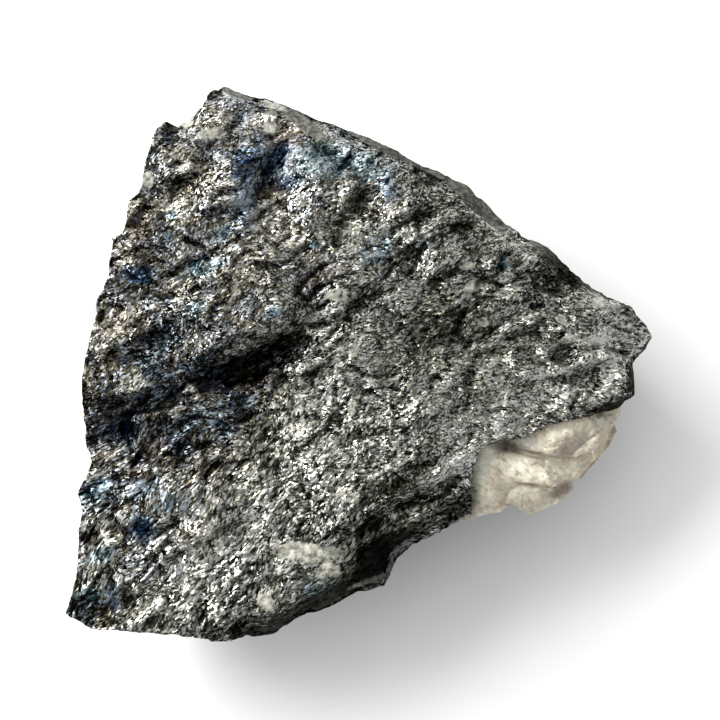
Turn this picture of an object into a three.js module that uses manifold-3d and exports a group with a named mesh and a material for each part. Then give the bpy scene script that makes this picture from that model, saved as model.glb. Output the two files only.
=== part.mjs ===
// A broken lump of skutterudite, a steel-grey cobalt arsenide ore, with a block of pinkish
// calcite grown onto one side. Millimetres, +Z up. The rough broken face looks up, and the
// lump rests on a small flat spot that lies in the plane z = 0.
import * as THREE from "three";
import { mergeVertices } from "three/addons/utils/BufferGeometryUtils.js";
import Module from "manifold-3d";

// Driving dimensions
const FACE_HEIGHT = 16.9; // highest part of the broken face, before its relief
const FACE_CROWN = [-3, 4]; // where the broad dome of the face is highest
const FACE_FALL = [0.0045, 0.004]; // how fast the dome falls along X and Y, per mm
const FLANK_INSET = [0.4, 2.4]; // least and most that the flank leans in below the rim
const SETTLING = 1.6; // outline points to each side that even out its teeth at the ore's foot
const CALCITE_TOP = 13.9; // the calcite's top beside the ore, before its cleavage steps
const CALCITE_FALL = 0.028; // how fast the calcite's top falls away from the ore, per mm
const CALCITE_FOOT = 6.8; // the calcite's lowest point
const GAP = 0.3; // clearance between the two minerals
const FACE_LUMPS = [[6.5, 0.5, 0.5], [3.1, 0.26, 7.5]]; // length, height and seed of the face's lumps
const STREAK = 0.48; // width of a lump over its length
const GRAIN_ANGLE = THREE.MathUtils.degToRad(29); // the way the fracture's streaks run

const ORE_COLOUR = 0x6d6e70;
const CALCITE_COLOUR = 0xdcc9bd;

// The ore's outline seen from above, anticlockwise from the lower right. Each side of the
// square grid below takes twenty of these points. Points 4 to 16 are the calcite contact.
const ORE_OUTLINE = [
  [3.1, -15.6], [4.5, -14.3], [5.9, -13.7], [7.4, -12.9], [8.9, -12.1],
  [8.8, -11], [8.7, -9.2], [9, -8.1], [9.2, -6.9], [9.9, -6.4],
  [11.7, -6], [12.8, -5.8], [14, -5.1], [15.7, -4.6], [17.4, -4.3],
  [18.9, -3.9], [20.3, -3.6], [21.7, -2.5], [21.7, 0], [22.6, 1],
  [23.3, 2.1], [22.4, 3.1], [21.2, 4.5], [20, 5], [19.2, 5.5],
  [17.7, 6.4], [16.4, 7.7], [14.9, 9.1], [13.1, 9.9], [11.6, 10.9],
  [10.1, 12.4], [8.4, 13.9], [6.6, 14.8], [4.6, 15.7], [2.5, 16.8],
  [0.5, 17.8], [-1.9, 18.6], [-4, 19.4], [-5.9, 20.3], [-8.5, 21],
  [-10.7, 21.9], [-11.7, 21.3], [-12.2, 20], [-13.6, 18.9], [-14.2, 18.6],
  [-15.1, 19], [-15.8, 18.2], [-16.5, 15.9], [-16.8, 13.7], [-17.8, 12.5],
  [-18.4, 10.1], [-19.1, 9.5], [-19.5, 6.9], [-20.3, 4.7], [-21.1, 1.6],
  [-21.6, -1.4], [-21.5, -4], [-21.3, -6.4], [-20.9, -7.6], [-22.1, -10.3],
  [-21.6, -11.6], [-22.1, -13.1], [-22, -15.6], [-22.6, -18.1], [-23.3, -19.9],
  [-22.2, -20.4], [-21.1, -21], [-19.1, -21], [-17, -21.2], [-14.8, -21.4],
  [-12.5, -21.6], [-11.6, -21.9], [-9.3, -21.8], [-8.6, -21.8], [-6.9, -21.7],
  [-6, -21], [-4.2, -19.9], [-2.2, -19.4], [-0.1, -18.2], [2, -17.7],
];
const ORE_CENTRE = [-0.8, -1.3];
const CONTACT_POINTS = [4, 16]; // first and last outline point on the calcite contact

// The calcite's outline: its free edge first, then the contact taken back from the ore.
const CALCITE_FREE_EDGE = [
  [9.4, -12.2], [10.1, -12], [11.1, -11.9], [12.1, -11.2], [12.8, -11.6],
  [13.6, -12.1], [14.4, -11.9], [15.2, -11.5], [16.3, -10.9], [17.1, -10.1],
  [17.1, -9.4], [17.8, -9.1], [18.5, -8.3], [19.2, -7.3], [19.7, -6.8],
  [20.1, -6.2], [20.5, -5.4], [20.2, -4.7], [20.7, -4.2],
];
const CALCITE_CENTRE = [14.4, -8.2];

// Ledges of the broken face: the ground rises gently to a lip that runs from one point to
// the other, and drops past it on the right-hand side. height, then how far back it rises.
const LEDGES = [
  { from: [-13.4, -0.4], to: [-3.4, 3.8], height: 2.7, back: 7 },
  { from: [-9.2, 12.3], to: [-7, 17.6], height: 1.5, back: 4 },
  { from: [-12.4, 11.9], to: [-8.6, 13], height: 0.8, back: 2.5 },
  { from: [-15.8, 14.4], to: [-11.8, 15.2], height: 0.9, back: 2.5 },
  { from: [-1.9, 11.4], to: [0.1, 14.6], height: 1.3, back: 3.5 },
  { from: [1.6, 10.9], to: [5.6, 12.9], height: 1, back: 3 },
  { from: [3.6, 9], to: [8, 11.8], height: 1, back: 2.5 },
  { from: [4.9, 6.8], to: [8.6, 8.6], height: 0.8, back: 2.5 },
  { from: [-4.6, 9.5], to: [-1.4, 10.4], height: 0.7, back: 2.5 },
  { from: [9.8, 6.6], to: [10.9, 9.6], height: 0.9, back: 3 },
  { from: [-3, -13.2], to: [9.6, -6.4], height: 1.9, back: 9 },
  { from: [-20.8, -2.9], to: [-12.6, -0.6], height: 0.9, back: 4 },
  { from: [-16.8, -13.3], to: [-13.2, -10.8], height: 0.8, back: 3 },
  { from: [-12.8, -13.8], to: [-9.2, -11.6], height: 0.7, back: 3 },
  { from: [-2.6, 4.8], to: [3.4, 6.8], height: 0.7, back: 3 },
  { from: [10.6, 2.4], to: [15.4, 4], height: 0.7, back: 3 },
  { from: [4, -4.4], to: [8.8, -2.2], height: 0.6, back: 3 },
  { from: [15.2, -0.6], to: [20.4, 0.9], height: 0.7, back: 2.5 },
];
const LEDGE_FACE = [0.5, 0.55]; // width of a drop seen from above: least, and per mm of its height

// The calcite's cleavage steps, in the same form.
const CALCITE_LEDGES = [
  { from: [10.9, -6], to: [17.4, -8.1], height: 0.9, back: 2.6 },
  { from: [9.6, -8.6], to: [16.4, -10.2], height: 0.6, back: 2 },
  { from: [16.8, -8.6], to: [19.8, -4.4], height: 0.7, back: 2 },
];

// Hollows of the broken face: centre, half length, half width, turn in degrees, depth.
const HOLLOWS = [
  { at: [-8, 0.7], half: [4.6, 1.7], turn: 24, depth: 2.1 },
  { at: [-6.6, 14.4], half: [1.8, 3], turn: -20, depth: 0.7 },
  { at: [15.1, 6.2], half: [2.2, 1.3], turn: 25, depth: 1 },
  { at: [16.1, 0.8], half: [1.1, 1], turn: 0, depth: 1.2 },
  { at: [-14.1, 19.1], half: [1.5, 1.8], turn: -30, depth: 2.2 },
  { at: [-16.5, -6.5], half: [5.5, 2.6], turn: 12, depth: 0.9 },
  { at: [3.2, -15.2], half: [2.2, 1.2], turn: 40, depth: 1.6 },
];

// Worn slopes along parts of the rim: outline points from and to, width in, and drop.
const RIM_SLOPES = [
  { from: 23, to: 41, width: 1.5, drop: 1.7 },
  { from: 72, to: 84, width: 2.1, drop: 2.9 },
  { from: 16, to: 20, width: 1, drop: 1.1 },
];

// Fracture planes of the underside: the way each one faces and its slope in degrees, and
// how far from the middle it leaves the flat spot.
const ORE_PLANES = [
  { faces: 14, reach: 6.8, slope: 25 },
  { faces: 68, reach: 5.8, slope: 31 },
  { faces: 124, reach: 8.2, slope: 22 },
  { faces: 171, reach: 9.6, slope: 31 },
  { faces: 219, reach: 10.4, slope: 19 },
  { faces: 272, reach: 7.4, slope: 30 },
  { faces: 322, reach: 6, slope: 26 },
  { faces: 355, reach: 18.2, slope: 62 },
  { faces: 46, reach: 14, slope: 60 },
  { faces: 96, reach: 16.2, slope: 63 },
  { faces: 148, reach: 18.6, slope: 58 },
  { faces: 187, reach: 18.2, slope: 64 },
  { faces: 236, reach: 22.4, slope: 54 },
  { faces: 286, reach: 17, slope: 61 },
];

const RINGS = 20; // grid squares from the middle of the face out to the rim
const FLANK_ROWS = 4;
const CALCITE_RINGS = 8;
const CALCITE_FLANK_ROWS = 3;

const lerp = THREE.MathUtils.lerp;
const smooth = THREE.MathUtils.smoothstep;

// A repeatable number from 0 to 1 at each point of a lattice.
function latticeValue(i, j, k) {
  const s = Math.sin(i * 127.1 + j * 311.7 + k * 74.7) * 43758.5453;
  return s - Math.floor(s);
}

// Noise from -1 to 1: lattice values blended straight across each cell, so that it has the
// creases and near-flat patches of broken stone.
function creasedNoise(x, y, z) {
  const [i, j, k] = [x, y, z].map(Math.floor);
  const [u, v, w] = [x - i, y - j, z - k];
  const along = (b, c) => lerp(latticeValue(i, b, c), latticeValue(i + 1, b, c), u);
  const across = (c) => lerp(along(j, c), along(j + 1, c), v);
  return 2 * lerp(across(k), across(k + 1), w) - 1;
}

// How much a ledge adds at a point: a slow rise up to its lip, then a drop past it.
function ledgeRise(x, y, { from, to, height, back }) {
  const [dx, dy] = [to[0] - from[0], to[1] - from[1]];
  const length = Math.hypot(dx, dy);
  const along = ((x - from[0]) * dx + (y - from[1]) * dy) / length;
  const behind = ((y - from[1]) * dx - (x - from[0]) * dy) / length;
  const end = (distance) => smooth(distance, -0.12 * length, 0.3 * length);
  const drop = LEDGE_FACE[0] + LEDGE_FACE[1] * height;
  const profile = behind > 0 ? Math.exp(-behind / back) : smooth(behind, -drop, 0);
  return height * end(along) * end(length - along) * profile;
}

// How deep a hollow is at a point: an oval bowl with soft sides.
function hollowDepth(x, y, { at, half, turn, depth }) {
  const a = THREE.MathUtils.degToRad(turn);
  const u = ((x - at[0]) * Math.cos(a) + (y - at[1]) * Math.sin(a)) / half[0];
  const v = ((y - at[1]) * Math.cos(a) - (x - at[0]) * Math.sin(a)) / half[1];
  return depth * Math.exp(-((u * u + v * v) ** 1.5));
}

// Height of the broken face: a low dome with ledges, hollows and streaked lumps.
function faceHeight(x, y) {
  const dome = FACE_FALL[0] * (x - FACE_CROWN[0]) ** 2 + FACE_FALL[1] * (y - FACE_CROWN[1]) ** 2;
  const [c, s] = [Math.cos(GRAIN_ANGLE), Math.sin(GRAIN_ANGLE)];
  const [along, across] = [x * c + y * s, y * c - x * s];
  const lumps = FACE_LUMPS.reduce((sum, [size, height, k]) => {
    return sum + height * creasedNoise(along / size, across / (STREAK * size), k);
  }, 0);
  const ledges = LEDGES.reduce((sum, ledge) => sum + ledgeRise(x, y, ledge), 0);
  const hollows = HOLLOWS.reduce((sum, hollow) => sum + hollowDepth(x, y, hollow), 0);
  return FACE_HEIGHT - dome + lumps + ledges - hollows;
}

// Height of an underside: flat where it rests, rising along the fracture planes around it.
function undersideHeight(x, y, planes, roughness) {
  const rise = Math.max(0, ...planes.map(({ faces, reach, slope }) => {
    const a = THREE.MathUtils.degToRad(faces);
    return (x * Math.cos(a) + y * Math.sin(a) - reach) * Math.tan(THREE.MathUtils.degToRad(slope));
  }));
  const rough = 0.5 + 0.5 * creasedNoise(x / 4.3, y / 4.3, 3.5);
  return rise + roughness * rough * smooth(rise, 0, 1.5);
}

// The point of a closed outline at a station from 0 to 1 round it.
function outlinePoint(outline, station) {
  const place = (station - Math.floor(station)) * outline.length;
  const i = Math.floor(place);
  const [a, b] = [outline[i % outline.length], outline[(i + 1) % outline.length]];
  return [lerp(a[0], b[0], place - i), lerp(a[1], b[1], place - i)];
}

// The same outline lower down the flank, where its small teeth have run out: halfway between
// the points a little to each side.
function settledPoint(outline, station, settling) {
  const spread = settling / outline.length;
  const [a, b] = [outlinePoint(outline, station - spread), outlinePoint(outline, station + spread)];
  return [(a[0] + b[0]) / 2, (a[1] + b[1]) / 2];
}

// Ring, from 0 in the middle to 1 at the edge, and station, from 0 to 1 round it, of a
// point of the square grid from -1 to 1.
function ringAndStation(x, y) {
  const ring = Math.max(Math.abs(x), Math.abs(y));
  if (ring < 1e-6) return [0, 0];
  const [u, v] = [x / ring, y / ring];
  if (u > 0.999999) return [ring, (v + 1) / 8];
  if (v > 0.999999) return [ring, 0.25 + (1 - u) / 8];
  if (u < -0.999999) return [ring, 0.5 + (1 - v) / 8];
  return [ring, (0.75 + (u + 1) / 8) % 1];
}

// A lump of stone: a box of small squares whose top becomes the face, whose sides become
// the flank and whose bottom becomes the underside.
//   face(x, y, ring, station) and underside(x, y) give heights, and
//   inset(station, level) is how far the flank leans in at a level from 0 (rim) to 1, and
//   settling is how far its outline evens out by the foot, in outline points.
function lumpGeometry({ outline, centre, rings, rows, face, underside, inset, settling = 0 }) {
  const box = new THREE.BoxGeometry(2, 2, 2, 2 * rings, 2 * rings, rows);
  const at = box.attributes.position;
  const onRing = (station, ring, level, lean) => {
    const [px, py] = settledPoint(outline, station, settling * level);
    const reach = Math.hypot(px - centre[0], py - centre[1]);
    const share = ring * (1 - lean / reach);
    return [lerp(centre[0], px, share), lerp(centre[1], py, share)];
  };
  for (let i = 0; i < at.count; i++) {
    const [ring, station] = ringAndStation(at.getX(i), at.getY(i));
    const level = (1 - at.getZ(i)) / 2;
    const lean = level < 1e-6 ? 0 : inset(station, level);
    const [x, y] = onRing(station, ring, level, lean);
    if (level < 1e-6) {
      at.setXYZ(i, x, y, face(x, y, ring, station));
    } else if (level > 1 - 1e-6) {
      at.setXYZ(i, x, y, underside(x, y));
    } else {
      const rim = face(...onRing(station, 1, 0, 0), 1, station);
      const foot = underside(...onRing(station, 1, 1, inset(station, 1)));
      at.setXYZ(i, x, y, lerp(rim, foot, level));
    }
  }
  box.deleteAttribute("normal");
  box.deleteAttribute("uv");
  return mergeVertices(box, 1e-3);
}

// How far the worn slopes lower the face at a place near the rim.
function rimSlopeDrop(x, y, ring, station) {
  const count = ORE_OUTLINE.length;
  const [px, py] = outlinePoint(ORE_OUTLINE, station);
  const inFromRim = (1 - ring) * Math.hypot(px - ORE_CENTRE[0], py - ORE_CENTRE[1]);
  const drops = RIM_SLOPES.map(({ from, to, width, drop }) => {
    const place = station * count < from - 2 ? station * count + count : station * count;
    const ends = smooth(place, from - 1, from + 1) * smooth(to + 1 - place, 0, 2);
    return drop * ends * Math.max(0, 1 - inFromRim / width);
  });
  return Math.max(...drops);
}

// How far the ore's flank leans in. On the calcite contact it stands a little outside the
// outline below the rim, so that the calcite cuts it to a matching face.
function oreInset(station, level) {
  const place = station * ORE_OUTLINE.length;
  const [first, last] = CONTACT_POINTS;
  const contact = smooth(place, first - 1, first) * smooth(last + 1 - place, 0, 1);
  const around = station * 2 * Math.PI;
  const rough = 0.5 + 0.5 * creasedNoise(4.5 * Math.cos(around), 4.5 * Math.sin(around), 3.4 * level);
  const free = lerp(FLANK_INSET[0], FLANK_INSET[1], 0.4 * level + 0.6 * rough) * smooth(level, 0, 0.3);
  return lerp(free, -GAP * smooth(level, 0, 0.2), contact);
}

// The calcite's top: it falls away from the ore in two cleavage steps to its free edge.
function calciteTop(x, y) {
  const out = (x - 9) * 0.55 - (y + 4.2) * 0.83; // distance from the ore, across the block
  const ledges = CALCITE_LEDGES.reduce((sum, ledge) => sum + ledgeRise(x, y, ledge), 0);
  return CALCITE_TOP - CALCITE_FALL * out * out + ledges + 0.3 * creasedNoise(x / 2.2, y / 2.2, 11.5);
}

function calciteUnderside(x, y) {
  const tilt = 0.3 * Math.max(0, x - 13) + 0.22 * Math.max(0, -y - 8);
  return CALCITE_FOOT + tilt + 0.5 * (0.5 + 0.5 * creasedNoise(x / 2.6, y / 2.6, 5.5));
}

// The calcite leans in below its free edge, and stands upright against the ore.
function calciteInset(station, level, count) {
  const place = station * count;
  const free = smooth(place, -1, 1) * smooth(CALCITE_FREE_EDGE.length - place, 0, 1.5);
  return 1.7 * level * free * (0.6 + 0.4 * creasedNoise(place / 2.4, 2 * level, 1.5));
}

// Moves an outline outwards from a centre by a distance.
const grownOutline = (outline, centre, by) =>
  outline.map(([x, y]) => {
    const reach = Math.hypot(x - centre[0], y - centre[1]);
    const share = (reach + by) / reach;
    return [lerp(centre[0], x, share), lerp(centre[1], y, share)];
  });

// The calcite block, grown by a distance all round where it is used as a cutter.
function calciteGeometry(grow = 0) {
  const [first, last] = CONTACT_POINTS;
  const contact = ORE_OUTLINE.slice(first, last + 1).reverse();
  const outline = grownOutline([...CALCITE_FREE_EDGE, ...contact], CALCITE_CENTRE, grow);
  return lumpGeometry({
    outline,
    centre: CALCITE_CENTRE,
    rings: CALCITE_RINGS,
    rows: CALCITE_FLANK_ROWS,
    face: (x, y) => calciteTop(x, y) + (grow > 0 ? 2 * CALCITE_TOP : 0),
    underside: (x, y) => calciteUnderside(x, y) - grow,
    inset: (station, level) => calciteInset(station, level, outline.length),
  });
}

function oreGeometry() {
  return lumpGeometry({
    outline: ORE_OUTLINE,
    centre: ORE_CENTRE,
    rings: RINGS,
    rows: FLANK_ROWS,
    face: (x, y, ring, station) => faceHeight(x, y) - rimSlopeDrop(x, y, ring, station),
    underside: (x, y) => undersideHeight(x, y, ORE_PLANES, 0.9),
    inset: oreInset,
    settling: SETTLING,
  });
}

const wasm = await Module();
wasm.setup();

// A closed geometry as a manifold-3d solid, and back.
function solidFrom(geometry) {
  const mesh = new wasm.Mesh({
    numProp: 3,
    vertProperties: geometry.attributes.position.array,
    triVerts: new Uint32Array(geometry.index.array),
  });
  return new wasm.Manifold(mesh);
}

function geometryFrom(solid) {
  const { vertProperties, triVerts } = solid.getMesh();
  return new THREE.BufferGeometry()
    .setAttribute("position", new THREE.BufferAttribute(vertProperties, 3))
    .setIndex(new THREE.BufferAttribute(triVerts, 1));
}

function stoneMesh(name, geometry, colour, roughness, metalness) {
  const flat = geometry.toNonIndexed();
  flat.computeVertexNormals();
  const material = new THREE.MeshStandardMaterial({ color: colour, roughness, metalness, flatShading: true });
  const mesh = new THREE.Mesh(flat, material);
  mesh.name = name;
  return mesh;
}

const ore = solidFrom(oreGeometry()).subtract(solidFrom(calciteGeometry(GAP)));

const specimen = new THREE.Group();
specimen.name = "skutterudite_specimen";
specimen.add(stoneMesh("skutterudite", geometryFrom(ore), ORE_COLOUR, 0.42, 0.85));
specimen.add(stoneMesh("calcite", calciteGeometry(), CALCITE_COLOUR, 0.5, 0));

export default specimen;
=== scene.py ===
"""A broken lump of skutterudite with a block of calcite on one edge, seen from straight above.

Shapes are worked out in millimetres and put into meshes in metres. The broken face looks up along +Z,
and the lump rests on a small flat spot in the plane z = 0. Outline, ledges, hollows and fracture planes
have the same values as the solids; finer facets, crumbled edges and finishes are added here.
"""

import math

import bpy
import numpy as np
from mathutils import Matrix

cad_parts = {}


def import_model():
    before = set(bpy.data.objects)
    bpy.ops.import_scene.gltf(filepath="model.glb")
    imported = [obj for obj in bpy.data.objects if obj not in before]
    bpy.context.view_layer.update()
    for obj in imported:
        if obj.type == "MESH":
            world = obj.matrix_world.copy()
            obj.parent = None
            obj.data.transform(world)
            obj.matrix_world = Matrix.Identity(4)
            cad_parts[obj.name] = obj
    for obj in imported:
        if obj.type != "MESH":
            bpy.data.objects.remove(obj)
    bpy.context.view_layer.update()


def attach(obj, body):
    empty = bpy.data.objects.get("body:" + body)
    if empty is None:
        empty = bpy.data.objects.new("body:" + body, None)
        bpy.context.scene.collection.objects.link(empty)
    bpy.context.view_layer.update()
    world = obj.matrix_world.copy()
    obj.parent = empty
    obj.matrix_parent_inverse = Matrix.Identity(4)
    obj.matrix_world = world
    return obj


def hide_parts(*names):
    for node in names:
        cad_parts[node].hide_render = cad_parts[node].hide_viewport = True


MM = 0.001

# The camera, in millimetres: straight above, with the photograph's top along +Y.
CAMERA_AT = (0.089, 0.246, 180.0)
FACE_LEVEL = 16.0
FRAME_WIDTH = 55.8
SENSOR = 36.0

# The window's place and size in millimetres, its watts and its colour, and the room's bright side and
# strength.
WINDOW_AT = (-190, 140, 210)
WINDOW_SIZE = (180, 140)
WINDOW_WATTS = 1.6
WINDOW_COLOUR = (1.0, 0.99, 0.96)
BRIGHT_SIDE = (-0.68, 0.60, 0.42)
ROOM_STRENGTH = 2.5

FLOOR_HALF = 400.0

# The ore's broken face and flank
FACE_HEIGHT = 16.9
FACE_CROWN = (-3.0, 4.0)
FACE_FALL = (0.0045, 0.004)
FACE_LUMPS = ((6.5, 0.5, 0.5), (3.1, 0.26, 7.5))
STREAK = 0.48
GRAIN_TURN = math.radians(29)
FLANK_INSET = (0.4, 2.4)
SETTLING = 1.6
UNDERSIDE_ROUGHNESS = 0.9

# The ore's outline seen from above, anticlockwise from the lower right.
ORE_OUTLINE = np.array([
    (3.1, -15.6), (4.5, -14.3), (5.9, -13.7), (7.4, -12.9), (8.9, -12.1),
    (8.8, -11), (8.7, -9.2), (9, -8.1), (9.2, -6.9), (9.9, -6.4),
    (11.7, -6), (12.8, -5.8), (14, -5.1), (15.7, -4.6), (17.4, -4.3),
    (18.9, -3.9), (20.3, -3.6), (21.7, -2.5), (21.7, 0), (22.6, 1),
    (23.3, 2.1), (22.4, 3.1), (21.2, 4.5), (20, 5), (19.2, 5.5),
    (17.7, 6.4), (16.4, 7.7), (14.9, 9.1), (13.1, 9.9), (11.6, 10.9),
    (10.1, 12.4), (8.4, 13.9), (6.6, 14.8), (4.6, 15.7), (2.5, 16.8),
    (0.5, 17.8), (-1.9, 18.6), (-4, 19.4), (-5.9, 20.3), (-8.5, 21),
    (-10.7, 21.9), (-11.7, 21.3), (-12.2, 20), (-13.6, 18.9), (-14.2, 18.6),
    (-15.1, 19), (-15.8, 18.2), (-16.5, 15.9), (-16.8, 13.7), (-17.8, 12.5),
    (-18.4, 10.1), (-19.1, 9.5), (-19.5, 6.9), (-20.3, 4.7), (-21.1, 1.6),
    (-21.6, -1.4), (-21.5, -4), (-21.3, -6.4), (-20.9, -7.6), (-22.1, -10.3),
    (-21.6, -11.6), (-22.1, -13.1), (-22, -15.6), (-22.6, -18.1), (-23.3, -19.9),
    (-22.2, -20.4), (-21.1, -21), (-19.1, -21), (-17, -21.2), (-14.8, -21.4),
    (-12.5, -21.6), (-11.6, -21.9), (-9.3, -21.8), (-8.6, -21.8), (-6.9, -21.7),
    (-6, -21), (-4.2, -19.9), (-2.2, -19.4), (-0.1, -18.2), (2, -17.7),
])
ORE_CENTRE = np.array((-0.8, -1.3))
# The outline points along the calcite, and how far the block reaches past them to close the gap.
CONTACT = (4, 16)
CONTACT_OVERLAP = 0.6

CALCITE_FREE_EDGE = np.array([
    (9.4, -12.2), (10.1, -12), (11.1, -11.9), (12.1, -11.2), (12.8, -11.6),
    (13.6, -12.1), (14.4, -11.9), (15.2, -11.5), (16.3, -10.9), (17.1, -10.1),
    (17.1, -9.4), (17.8, -9.1), (18.5, -8.3), (19.2, -7.3), (19.7, -6.8),
    (20.1, -6.2), (20.5, -5.4), (20.2, -4.7), (20.7, -4.2),
])
CALCITE_CENTRE = np.array((14.4, -8.2))
CALCITE_TOP = 13.9
CALCITE_FALL = 0.028
CALCITE_FOOT = 6.8
CALCITE_INSET = 1.7
# A point at the back of the block's top, and the way out from there.
CALCITE_BACK = (9, -4.2)
CALCITE_WAY = (0.55, -0.83)

# Ledges: lip from and to, height, and how far back the ground rises to it. Each drops to the right of
# the way from its first end to its second.
LEDGES = (
    ((-13.4, -0.4), (-3.4, 3.8), 2.7, 7), ((-9.2, 12.3), (-7, 17.6), 1.5, 4),
    ((-12.4, 11.9), (-8.6, 13), 0.8, 2.5), ((-15.8, 14.4), (-11.8, 15.2), 0.9, 2.5),
    ((-1.9, 11.4), (0.1, 14.6), 1.3, 3.5), ((1.6, 10.9), (5.6, 12.9), 1, 3),
    ((3.6, 9), (8, 11.8), 1, 2.5), ((4.9, 6.8), (8.6, 8.6), 0.8, 2.5),
    ((-4.6, 9.5), (-1.4, 10.4), 0.7, 2.5), ((9.8, 6.6), (10.9, 9.6), 0.9, 3),
    ((-3, -13.2), (9.6, -6.4), 1.9, 9), ((-20.8, -2.9), (-12.6, -0.6), 0.9, 4),
    ((-16.8, -13.3), (-13.2, -10.8), 0.8, 3), ((-12.8, -13.8), (-9.2, -11.6), 0.7, 3),
    ((-2.6, 4.8), (3.4, 6.8), 0.7, 3), ((10.6, 2.4), (15.4, 4), 0.7, 3),
    ((4, -4.4), (8.8, -2.2), 0.6, 3), ((15.2, -0.6), (20.4, 0.9), 0.7, 2.5),
)
CALCITE_LEDGES = (
    ((10.9, -6), (17.4, -8.1), 0.9, 2.6), ((9.6, -8.6), (16.4, -10.2), 0.6, 2),
    ((16.8, -8.6), (19.8, -4.4), 0.7, 2),
)
LEDGE_FACE = (0.5, 0.55)

# An oval is its centre's x and y, half length, half width and turn in degrees.
# Hollows: an oval and its depth.
HOLLOWS = (
    (-8, 0.7, 4.6, 1.7, 24, 2.1), (-6.6, 14.4, 1.8, 3, -20, 0.7), (15.1, 6.2, 2.2, 1.3, 25, 1),
    (16.1, 0.8, 1.1, 1, 0, 1.2), (-14.1, 19.1, 1.5, 1.8, -30, 2.2),
    (-16.5, -6.5, 5.5, 2.6, 12, 0.9), (3.2, -15.2, 2.2, 1.2, 40, 1.6),
)

# Worn slopes along the rim: outline points from and to, width and drop.
RIM_SLOPES = ((23, 41, 1.5, 1.7), (72, 84, 2.1, 2.9), (16, 20, 1, 1.1))

# Fracture planes of the underside: the way each faces, its reach and its slope.
ORE_PLANES = (
    (14, 6.8, 25), (68, 5.8, 31), (124, 8.2, 22), (171, 9.6, 31), (219, 10.4, 19), (272, 7.4, 30),
    (322, 6, 26), (355, 18.2, 62), (46, 14, 60), (96, 16.2, 63), (148, 18.6, 58), (187, 18.2, 64),
    (236, 22.4, 54), (286, 17, 61),
)

# Broken facets: size, step, slope and seed.
FACE_FACETS = ((2.7, 0.15, 0.11, 21), (1.25, 0.1, 0.16, 43), (0.6, 0.05, 0.2, 67))
FLANK_FACETS = ((3.2, 0.34, 0.24, 5), (1.4, 0.16, 0.28, 9))
UNDERSIDE_FACETS = ((3.4, 0.22, 0.12, 15), (1.5, 0.12, 0.16, 19))
# Bites in a crumbled edge: how often they come round it, depth, how peaked and the seed's shift.
CRUMBS = ((26, 0.3, 2, 0), (60, 0.24, 1.5, 3), (130, 0.12, 1, 5))
CRUMB_LIFT = 0.2
ORE_CRUMB_SEED, CALCITE_CRUMB_SEED = 2.5, 7.5
CALCITE_CRUMB_SHARE = 0.6
# The streaks' direction in the middle, towards the pointed end and in the lower left.
STREAK_TURNS = (GRAIN_TURN, math.radians(-4), math.radians(46))
# Crevices: the length and width of the noise that they follow and of the noise that breaks them up,
# their width as a share of it, and their depth.
CREVICE_SIZE, CREVICE_BREAKS = (3.4, 1.15), (4.6, 2.4)
CREVICE_WIDTH, CREVICE_DEPTH = 0.13, 0.35
FLANK_WORN = 0.34
# How much of the facets a worn patch and a calcite spot take away, and a spot's rise, lumps and size.
WORN_CALM, SPOT_CALM = 0.85, 0.75
SPOT_RISE = (0.1, 0.12, 0.7)
# How far below its surroundings a point lies: grid squares to blur over, and weight.
RECESS_BLURS = ((3, 2.4), (9, 0.8))
# Bends in the streaks: their size, how far they shift a point, and their seeds.
BEND_SIZE, BEND_SHIFT, BEND_SEEDS = 2.8, 0.8, (12.5, 15.5)
CALCITE_FACETS = ((1.1, 0.07, 0.1, 13), (0.45, 0.04, 0.16, 57))
CALCITE_SIDE_FACETS = ((2.3, 0.2, 0.26, 3), (0.9, 0.1, 0.24, 8))
# About how far it is round the ore and round the block
ORE_ROUND, CALCITE_ROUND = 140, 36
CLEAVAGE_TURN = math.radians(-24)

# Cracks in the face: from, to and depth, and the half width of all.
CRACKS = (
    ((-16.2, -15), (-15.1, -16.5), 0.4), ((-4.3, -9.8), (-3.8, -10.4), 0.3),
    ((16.6, -3.6), (17.2, -2.5), 0.5), ((15.1, 0.3), (18.9, 1.3), 0.4),
    ((19.3, 1.2), (22.6, 0.1), 0.4), ((-1.8, -1.9), (-1.4, -4.6), 0.3),
    ((-19.3, -4.2), (-12.2, -3.1), 0.25), ((4.2, 7.2), (5.1, 9.3), 0.4),
    ((-13.3, 9.5), (-11.9, 8.9), 0.6), ((19.2, 3.2), (21.9, 2.2), 0.3),
)
CRACK_WIDTH = 0.17
# A small hollow at the lower right rim, past which the rim's lip stands proud: as in HOLLOWS.
LIP_HOLLOW = (1.1, -15.3, 1.8, 1, 58, 1.3)
# Smooth worn patches without grains: an oval and its strength.
WORN_SPOTS = (
    (-9.6, 21.2, 1.2, 0.45, -25, 1), (-4.6, 18.9, 2.6, 0.6, -38, 1), (1.4, 17.1, 2.8, 0.4, -30, 1),
    (5.2, 15.3, 2.4, 0.3, -27, 1), (9.2, 12.9, 3.2, 0.9, -45, 1.3), (15, 8.8, 2, 0.7, -40, 1.3),
    (17.8, 6.3, 1.4, 0.25, -45, 1), (1.3, -15.5, 2, 1, 55, 0.85), (-1.9, -18.1, 3.4, 0.8, 27, 0.65),
    (-6.4, -20.7, 2.2, 0.5, 15, 0.6), (20.2, -3.3, 1.6, 0.3, 15, 1), (21.6, -1.2, 0.3, 1.2, 0, 1),
    (-6.9, 19.1, 0.5, 0.6, 0, 1.1), (11.3, -6.2, 1.4, 0.3, 8, 1),
)

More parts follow.
